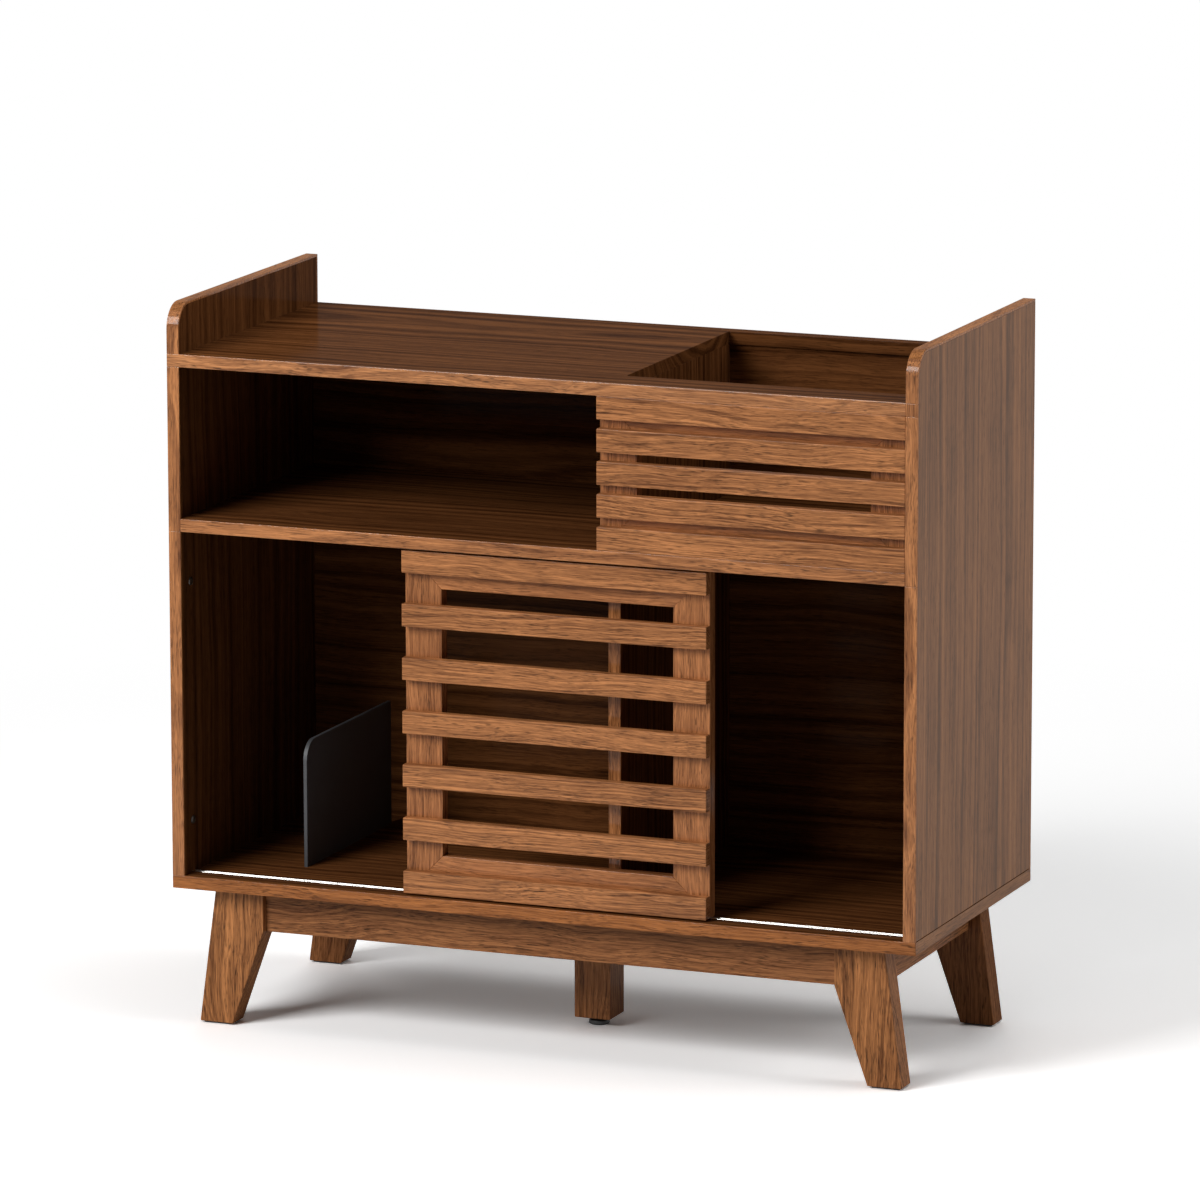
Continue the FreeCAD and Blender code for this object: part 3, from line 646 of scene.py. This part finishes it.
# Painted shade: the upright faces, the groove's walls among them, take a darker polished aluminium so the
# groove reads as a dark line.
track.data.materials.append(metal("polished sides with painted shade", (0.6, 0.58, 0.55), 0.0, relief=0.0))
upright = 0.8
for face in track.data.polygons:
    if abs(face.normal.y) > upright:
        face.material_index = 1


# Bumpers: four clear discs of moulded soft rubber with domed faces, stuck to the inner
# faces of the side panels where the door's stiles meet them.

clear_rubber = plastic("clear rubber", (0.08, 0.055, 0.038), 0.3)
clear_rubber.node_tree.nodes["Principled BSDF"].inputs["Transmission Weight"].default_value = 0.5
shape = bmesh.new()
thickness_share = 0.97
for low, high, points in solids_of("door_bumpers"):
    thick = (high.x - low.x) * thickness_share
    radius = (high.z - low.z) / 2
    outward = 1 if low.x < 0 else -1
    foot = Vector((low.x if outward == 1 else high.x, (low.y + high.y) / 2, (low.z + high.z) / 2))
    dome = ((0, 0), (radius, 0), (radius * 0.98, thick * 0.45), (radius * 0.9, thick * 0.72),
            (radius * 0.72, thick * 0.9), (radius * 0.4, thick * 0.98), (0, thick))
    shape.from_mesh(turned("disc", dome, [foot], (outward, 0, 0)))
place_piece("bumper_discs", mesh_of(shape, "bumper_discs"), clear_rubber, "cabinet", "clear_rubber",
            "door_bumpers", smooth=35.0)


# Base: splayed legs and aprons in solid walnut, joined by dowels and screwed up into the
# bottom panel from deep holes. The legs' arrises are rounded, and thin glides sit below.

leg_wood = {"light": (0.60, 0.245, 0.084), "dark": (0.125, 0.041, 0.012), "figure": 0.5, "fibre": 0.8,
            "cloud": 0.4, "pores": 0.9, "lean": 0.015, "coat": 0.25, "coat_roughness": 0.28}
# Painted shade: the aprons take a darker copy of the legs' walnut, for the shade under the bottom panel's
# overhang.
shaded_apron_wood = {"light": (0.46, 0.19, 0.072), "dark": (0.11, 0.037, 0.013), "figure": 0.45, "fibre": 0.8,
              "cloud": 0.4, "pores": 0.9, "lean": 0.015, "coat": 0.2, "coat_roughness": 0.3}
# Painted shade: the rear legs take a darker, duller copy of the apron walnut, for the shade under the
# cabinet.
shaded_rear_leg_wood = {**shaded_apron_wood, "light": (0.33, 0.13, 0.047), "dark": (0.085, 0.028, 0.01), "coat": 0.1}
for cut, (node, look) in enumerate((("leg_front_left", leg_wood), ("leg_front_right", leg_wood),
                                    ("leg_rear_left", shaded_rear_leg_wood), ("leg_rear_right", shaded_rear_leg_wood))):
    material = walnut("walnut " + node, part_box(node), GRAIN_Z, 41 + cut, look, (0.07, 0.045), 340.0)
    for slot in nodes[node].material_slots:
        slot.material = material
for cut, (node, grain) in enumerate((("apron_front", GRAIN_X), ("apron_rear", GRAIN_X),
                                     ("apron_left", GRAIN_Y), ("apron_right", GRAIN_Y))):
    material = walnut("walnut " + node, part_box(node), grain, 51 + cut, shaded_apron_wood, (0.06, 0.045), 340.0)
    eased(node, "cabinet", "walnut_base", material, width=0.0008)
black_plastic = plastic("black plastic", (0.012, 0.012, 0.012), 0.4)
eased("leg_glides", "cabinet", "black_plastic", black_plastic, width=0.0004)


# Centre post: a square walnut post, screwed from above to a zinc-plated plate that is
# itself screwed under the bottom panel. A threaded insert in the post's lower end holds
# a levelling foot.

# Painted shade: the centre post takes a darker copy of the legs' walnut, for the shade under the cabinet.
shaded_post_wood = {**leg_wood, "light": (0.50, 0.20, 0.07)}
material = walnut("walnut centre_post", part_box("centre_post"), GRAIN_Z, 61, shaded_post_wood, (0.05, 0.045), 340.0)
eased("centre_post", "cabinet", "walnut_base", material, width=0.0012)
zinc = metal("zinc plated steel", (0.62, 0.63, 0.64), 0.3)
eased("post_plate", "cabinet", "zinc_steel", zinc, width=0.0005)
nodes["levelling_insert"].material_slots[0].material = zinc


def raised(tree, geometry, height):
    """Geometry moved up."""
    offset = wire(tree, "ShaderNodeCombineXYZ", ((2, height),))
    moved = wire(tree, "GeometryNodeTransform", (("Geometry", geometry), ("Translation", offset.outputs[0])))
    return moved.outputs[0]


def thread_tree():
    """Threaded rod along Z: a plain core and one ridge that climbs round it."""
    tree, inputs = shape_tree("thread", (
        ("Float", "Root radius", 0.0034), ("Float", "Ridge", 0.0006), ("Float", "Length", 0.034),
        ("Float", "Pitch", 0.00125), ("Vector", "Foot", (0, 0, 0))))
    root = inputs["Root radius"]
    ridge = inputs["Ridge"]
    climb = maths(tree, "SUBTRACT", inputs["Length"], maths(tree, "MULTIPLY", ridge, 2.0))
    turns = maths(tree, "DIVIDE", climb, inputs["Pitch"])
    spiral = wire(tree, "GeometryNodeCurveSpiral",
                  (("Resolution", 20), ("Rotations", turns), ("Start Radius", root), ("End Radius", root),
                   ("Height", climb)))
    section = wire(tree, "GeometryNodeCurvePrimitiveCircle", (("Resolution", 4), ("Radius", ridge)))
    wound = wire(tree, "GeometryNodeCurveToMesh",
                 (("Curve", raised(tree, spiral.outputs[0], ridge)), ("Profile Curve", section.outputs[0]),
                  ("Fill Caps", True)))
    core = wire(tree, "GeometryNodeMeshCylinder",
                (("Vertices", 24), ("Radius", root), ("Depth", inputs["Length"])))
    half = maths(tree, "MULTIPLY", inputs["Length"], 0.5)
    joined = wire(tree, "GeometryNodeJoinGeometry")
    tree.links.new(raised(tree, core.outputs["Mesh"], half), joined.inputs[0])
    tree.links.new(wound.outputs[0], joined.inputs[0])
    placed = wire(tree, "GeometryNodeTransform",
                  (("Geometry", joined.outputs[0]), ("Translation", inputs["Foot"])))
    return finished_tree(tree, inputs, placed.outputs[0])


low, high = corners("levelling_stem")
foot = Vector(((low.x + high.x) / 2, (low.y + high.y) / 2, low.z))
ridge, pitch = 0.0006, 0.00125
mesh = grown("threaded_stem", thread_tree(), None,
             {"Root radius": (high.x - low.x) / 2 - ridge, "Ridge": ridge, "Length": high.z - low.z,
              "Pitch": pitch, "Foot": foot, "Finish": zinc})
place_piece("threaded_stem", mesh, zinc, "levelling_stem", "zinc_steel", "levelling_stem")

low, high = corners("levelling_pad")
radius = (high.x - low.x) / 2
rise = high.z - low.z
neck, neck_height = 0.006, 0.003
ease, fillet, fillet_rise = 0.0005, 0.0006, 0.0004
socket, socket_floor = 0.0041, 0.004
chamfer, shoulder, shoulder_drop = 0.0012, 0.0018, 0.0016
pad_thick = rise - neck_height
pad_profile = ((0, 0), (radius - chamfer, 0), (radius, chamfer), (radius, pad_thick - shoulder_drop),
               (radius - fillet, pad_thick - ease), (radius - shoulder, pad_thick),
               (neck + fillet, pad_thick), (neck, pad_thick + fillet_rise), (neck, rise - ease),
               (neck - ease, rise), (socket, rise), (socket, socket_floor), (0, socket_floor))
foot = Vector(((low.x + high.x) / 2, (low.y + high.y) / 2, low.z))
mesh = turned("levelling_foot", pad_profile, [foot], (0, 0, 1), 48)
place_piece("levelling_foot", mesh, black_plastic, "levelling_pad", "black_plastic", "levelling_pad",
            smooth=35.0)


# Record divider: a dark grey plate with a rounded corner, set in a groove of the bottom
# panel.

divider_grey = plastic("divider grey", (0.055, 0.056, 0.06), 0.45)
eased("record_divider", "cabinet", "divider_grey", divider_grey, width=0.0009, smooth=12.0)


# Fasteners: countersunk steel screws with cross recesses, cam fittings with their bolts,
# and beech dowels.

def sink_cross(tree, cutter, arm, slot_width, depth):
    """Feed the two bars of a cross slot to a Mesh Boolean node."""
    for size in ((arm, slot_width, depth), (slot_width, arm, depth)):
        extent = wire(tree, "ShaderNodeCombineXYZ", enumerate(size))
        bar = wire(tree, "GeometryNodeMeshCube", (("Size", extent.outputs[0]),))
        tree.links.new(bar.outputs["Mesh"], cutter.inputs["Mesh 2"])


def screws_tree():
    """One screw at each point of the mesh, head at the point and shank along "way"."""
    tree, inputs = shape_tree("screws", (
        ("Float", "Head radius", 0.003), ("Float", "Radius", 0.0015), ("Float", "Length", 0.02),
        ("Float", "Recess depth", 0.001)))
    head_radius = inputs["Head radius"]
    radius = inputs["Radius"]
    cone_height = maths(tree, "SUBTRACT", head_radius, radius)
    head = wire(tree, "GeometryNodeMeshCone",
                (("Vertices", 28), ("Radius Top", radius), ("Radius Bottom", head_radius),
                 ("Depth", cone_height)))
    arm = maths(tree, "MULTIPLY", head_radius, 1.15)
    slot_width = maths(tree, "MULTIPLY", head_radius, 0.26)
    deep = maths(tree, "MULTIPLY", inputs["Recess depth"], 2.0)
    cross = wire(tree, "GeometryNodeMeshBoolean", operation="UNION")
    sink_cross(tree, cross, arm, slot_width, deep)
    cut = wire(tree, "GeometryNodeMeshBoolean",
               (("Mesh 1", head.outputs["Mesh"]), ("Mesh 2", cross.outputs[0])), operation="DIFFERENCE")
    shank_length = maths(tree, "SUBTRACT", inputs["Length"], cone_height)
    shank = wire(tree, "GeometryNodeMeshCone",
                 (("Vertices", 16), ("Radius Top", maths(tree, "MULTIPLY", radius, 0.5)),
                  ("Radius Bottom", radius), ("Depth", shank_length)))
    joined = wire(tree, "GeometryNodeJoinGeometry")
    tree.links.new(cut.outputs[0], joined.inputs[0])
    tree.links.new(raised(tree, shank.outputs["Mesh"], cone_height), joined.inputs[0])
    way = wire(tree, "GeometryNodeInputNamedAttribute", (("Name", "way"),), data_type="FLOAT_VECTOR")
    facing = wire(tree, "FunctionNodeAlignRotationToVector", (("Vector", way.outputs["Attribute"]),),
                  axis="Z")
    placed = wire(tree, "GeometryNodeInstanceOnPoints",
                  (("Points", inputs["Geometry"]), ("Instance", joined.outputs[0]),
                   ("Rotation", facing.outputs[0])))
    return finished_tree(tree, inputs, placed.outputs[0])


def screw_facts(low, high, points):
    """Head's middle, way in, head radius, shank radius and length of one screw."""
    size = high - low
    along = max(range(3), key=lambda i: size[i])
    middle = (low + high) / 2

    def radius_at(end):
        return max(math.hypot(*[(point - middle)[i] for i in range(3) if i != along])
                   for point in points if abs(point[along] - end) < same_place)

    at_low, at_high = radius_at(low[along]), radius_at(high[along])
    way = Vector((0, 0, 0))
    way[along] = 1 if at_low > at_high else -1
    head = middle.copy()
    head[along] = low[along] if at_low > at_high else high[along]
    return head, way, max(at_low, at_high), min(at_low, at_high), size[along]


screws = screws_tree()
steel = metal("screw steel", (0.62, 0.61, 0.6), 0.3)
cone_share, past_cone = 0.6, 0.0002
for node, body, name in (("cabinet_screws", "cabinet", "cross_head_screws"),
                         ("door_slat_screws", "sliding_door", "slat_screws")):
    kinds = {}
    for low, high, points in solids_of(node):
        head, way, head_radius, shank_radius, length = screw_facts(low, high, points)
        key = (round(head_radius, 5), round(shank_radius, 5), round(length, 4))
        kinds.setdefault(key, []).append((head, way))
    shape = bmesh.new()
    for (head_radius, shank_radius, length), places in sorted(kinds.items()):
        start = bpy.data.meshes.new("places")
        start.from_pydata([head for head, way in places], [], [])
        ways = start.attributes.new("way", "FLOAT_VECTOR", "POINT")
        for index, (head, way) in enumerate(places):
            ways.data[index].vector = way
        mesh = grown(name, screws, start,
                     {"Head radius": head_radius, "Radius": shank_radius, "Length": length,
                      "Recess depth": cone_share * (head_radius - shank_radius) + past_cone,
                      "Finish": steel})
        shape.from_mesh(mesh)
    place_piece(name, mesh_of(shape, name), steel, body, "screw_steel", node)


def cams_tree():
    """One cam at each point of the mesh: its face is at the point, with a ring and a cross
    slot sunk in it, and its body stands above."""
    tree, inputs = shape_tree("cams", (
        ("Float", "Radius", 0.0075), ("Float", "Height", 0.012), ("Float", "Sunk", 0.001)))
    radius = inputs["Radius"]
    deep = maths(tree, "MULTIPLY", inputs["Sunk"], 2.0)

    def disc(share, depth):
        cylinder = wire(tree, "GeometryNodeMeshCylinder",
                        (("Vertices", 40), ("Radius", maths(tree, "MULTIPLY", radius, share)),
                         ("Depth", depth)))
        return cylinder.outputs["Mesh"]

    half = maths(tree, "MULTIPLY", inputs["Height"], 0.5)
    body = raised(tree, disc(1.0, inputs["Height"]), half)
    ring = wire(tree, "GeometryNodeMeshBoolean", (("Mesh 1", disc(0.88, deep)),), operation="DIFFERENCE")
    tree.links.new(disc(0.74, maths(tree, "MULTIPLY", deep, 2.0)), ring.inputs["Mesh 2"])
    arm = maths(tree, "MULTIPLY", radius, 1.1)
    slot_width = maths(tree, "MULTIPLY", radius, 0.2)
    sunk = wire(tree, "GeometryNodeMeshBoolean", (("Mesh 1", body),), operation="DIFFERENCE")
    tree.links.new(ring.outputs[0], sunk.inputs["Mesh 2"])
    sink_cross(tree, sunk, arm, slot_width, deep)
    placed = wire(tree, "GeometryNodeInstanceOnPoints",
                  (("Points", inputs["Geometry"]), ("Instance", sunk.outputs[0])))
    return finished_tree(tree, inputs, placed.outputs[0])


def bolt_profile(length, radius, threaded):
    """A connecting bolt from its head in the cam to the end of its thread in the side."""
    waist = radius * 0.6
    profile = [(0, 0), (radius * 0.75, 0), (radius, radius * 0.25), (radius, radius * 0.7),
               (waist, radius * 1.1), (waist, radius * 1.6), (radius * 0.9, radius * 1.9),
               (radius * 0.9, length - threaded)]
    turns = 9
    pitch = threaded / (turns + 1)
    for turn in range(turns):
        start = length - threaded + turn * pitch
        profile += [(radius * 0.75, start + pitch * 0.25), (radius, start + pitch * 0.6)]
    return profile + [(radius * 0.5, length), (0, length)]


cam_zinc = metal("cam zinc", (0.45, 0.45, 0.46), 0.35)
bolt_thread, slot_depth = 0.009, 0.0008
cam_out_of_round = 0.001
faces = []
shape = bmesh.new()
for low, high, points in solids_of("cam_fittings"):
    size = high - low
    middle = (low + high) / 2
    if size.x - size.y < cam_out_of_round:
        faces.append(Vector((middle.x, middle.y, low.z)))
        cam_radius, cam_height = size.x / 2, size.z
    else:
        head_x, way = (high.x, -1) if middle.x < 0 else (low.x, 1)
        shape.from_mesh(turned("bolt", bolt_profile(size.x, size.y / 2, bolt_thread),
                               [Vector((head_x, middle.y, middle.z))], (way, 0, 0), 20))
start = bpy.data.meshes.new("cam places")
start.from_pydata(faces, [], [])
shape.from_mesh(grown("cams", cams_tree(), start,
                      {"Radius": cam_radius, "Height": cam_height, "Sunk": slot_depth, "Finish": cam_zinc}))
place_piece("cams_and_bolts", mesh_of(shape, "cams_and_bolts"), cam_zinc, "cabinet", "zinc_steel",
            "cam_fittings", smooth=30.0)

beech_look = {"light": (0.62, 0.42, 0.24), "dark": (0.45, 0.28, 0.14), "figure": 0.5, "fibre": 0.4,
              "cloud": 0.3, "pores": 0.3, "lean": 0.01, "coat": 0.0, "coat_roughness": 0.3}
beech = walnut("beech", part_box("wood_dowels"), GRAIN_X, 71, beech_look)
eased("wood_dowels", "cabinet", "beech", beech, width=0.0008, smooth=35.0, shortest=0.0)


# Studio: a pale floor that turns white away from the part, a white background and four
# soft lamps. The camera stands where the photo's did, as fitted to its straight edges.

def look_matrix(place, yaw, pitch, roll):
    """Camera matrix from a heading, a downward pitch and a roll in degrees."""
    a, b, c = math.radians(yaw), math.radians(pitch), math.radians(roll)
    ahead = Vector((-math.sin(a) * math.cos(b), math.cos(a) * math.cos(b), -math.sin(b)))
    side = ahead.cross(Vector((0, 0, 1))).normalized()
    up = side.cross(ahead)
    right = side * math.cos(c) + up * math.sin(c)
    top = up * math.cos(c) - side * math.sin(c)
    turn = Matrix((right, top, -ahead)).transposed()
    return Matrix.Translation(place) @ turn.to_4x4()


camera_data = bpy.data.cameras.new("camera")
camera_data.sensor_width = 36.0
camera_data.lens = 253.82
camera_data.clip_end = 100.0
camera = bpy.data.objects.new("camera", camera_data)
camera.matrix_world = look_matrix(Vector((3.585, -8.9393, 2.4402)), 21.8654, 11.3683, -0.0964)
bpy.context.collection.objects.link(camera)
bpy.context.scene.camera = camera

bpy.ops.mesh.primitive_plane_add(size=40.0, location=(0, 0, 0))
floor = bpy.context.object
floor.name = "floor"
floor_material = bpy.data.materials.new("floor")
floor_material.use_nodes = True
tree = floor_material.node_tree
shader = tree.nodes["Principled BSDF"]
shader.inputs["Base Color"].default_value = (0.6, 0.6, 0.6, 1)
shader.inputs["Roughness"].default_value = 0.8
shader.inputs["Specular IOR Level"].default_value = 0.2
rays = wire(tree, "ShaderNodeLightPath")
seen = maths(tree, "MAXIMUM", rays.outputs["Is Camera Ray"], rays.outputs["Is Glossy Ray"])
where = wire(tree, "ShaderNodeTexCoord")
away = wire(tree, "ShaderNodeVectorMath", ((0, where.outputs["Object"]),), operation="LENGTH")
fade_from, fade_to = 0.9, 2.2
backdrop = maths(tree, "MULTIPLY", seen, spread(tree, away.outputs["Value"], fade_from, fade_to, 0.0, 1.0))
glow = wire(tree, "ShaderNodeEmission", (("Color", (1, 1, 1, 1)), ("Strength", 1.0)))
paler = wire(tree, "ShaderNodeBsdfDiffuse", (("Color", (1, 1, 1, 1)),))
nothing = wire(tree, "ShaderNodeBsdfDiffuse", (("Color", (0, 0, 0, 1)),))
lift = maths(tree, "MULTIPLY", seen, 0.92)
lifted = wire(tree, "ShaderNodeMixShader", ((0, lift), (1, nothing.outputs[0]), (2, paler.outputs[0])))
both = wire(tree, "ShaderNodeAddShader", ((0, shader.outputs[0]), (1, lifted.outputs[0])))
mixed = wire(tree, "ShaderNodeMixShader", ((0, backdrop), (1, both.outputs[0]), (2, glow.outputs[0])))
tree.links.new(mixed.outputs[0], tree.nodes["Material Output"].inputs["Surface"])
floor.data.materials.append(floor_material)


def lamp(name, place, aim, size, power, glossy=True):
    """Soft rectangular lamp turned to a point."""
    data = bpy.data.lights.new(name, "AREA")
    data.shape = "RECTANGLE"
    data.size, data.size_y = size
    data.energy = power
    light = bpy.data.objects.new(name, data)
    direction = Vector(aim) - Vector(place)
    light.matrix_world = Matrix.Translation(place) @ direction.to_track_quat("-Z", "Y").to_matrix().to_4x4()
    light.visible_glossy = glossy
    bpy.context.collection.objects.link(light)


lamp("key lamp", (-1.85, -3.35, 2.8), (0, 0, 0.4), (2.1, 2.1), 157)
lamp("top lamp", (0.9, 0.3, 3.4), (0, 0, 0.4), (2.6, 2.0), 32)
lamp("right lamp", (3.2, 0.5, 1.7), (0, 0, 0.5), (1.6, 1.6), 26)
lamp("rear lamp", (-1.2, 3.4, 2.3), (0, 0, 0.5), (1.8, 1.8), 22, glossy=False)

world = bpy.data.worlds.new("studio")
world.use_nodes = True
bpy.context.scene.world = world
tree = world.node_tree
rays = wire(tree, "ShaderNodeLightPath")
seen = maths(tree, "MAXIMUM", rays.outputs["Is Camera Ray"], rays.outputs["Is Glossy Ray"])
seen = maths(tree, "MAXIMUM", seen, rays.outputs["Is Transmission Ray"])
background = tree.nodes["Background"]
background.inputs["Color"].default_value = (1, 1, 1, 1)
unseen_light = 0.08
tree.links.new(spread(tree, seen, 0.0, 1.0, unseen_light, 1.0), background.inputs["Strength"])
bpy.context.scene.view_settings.view_transform = "Standard"
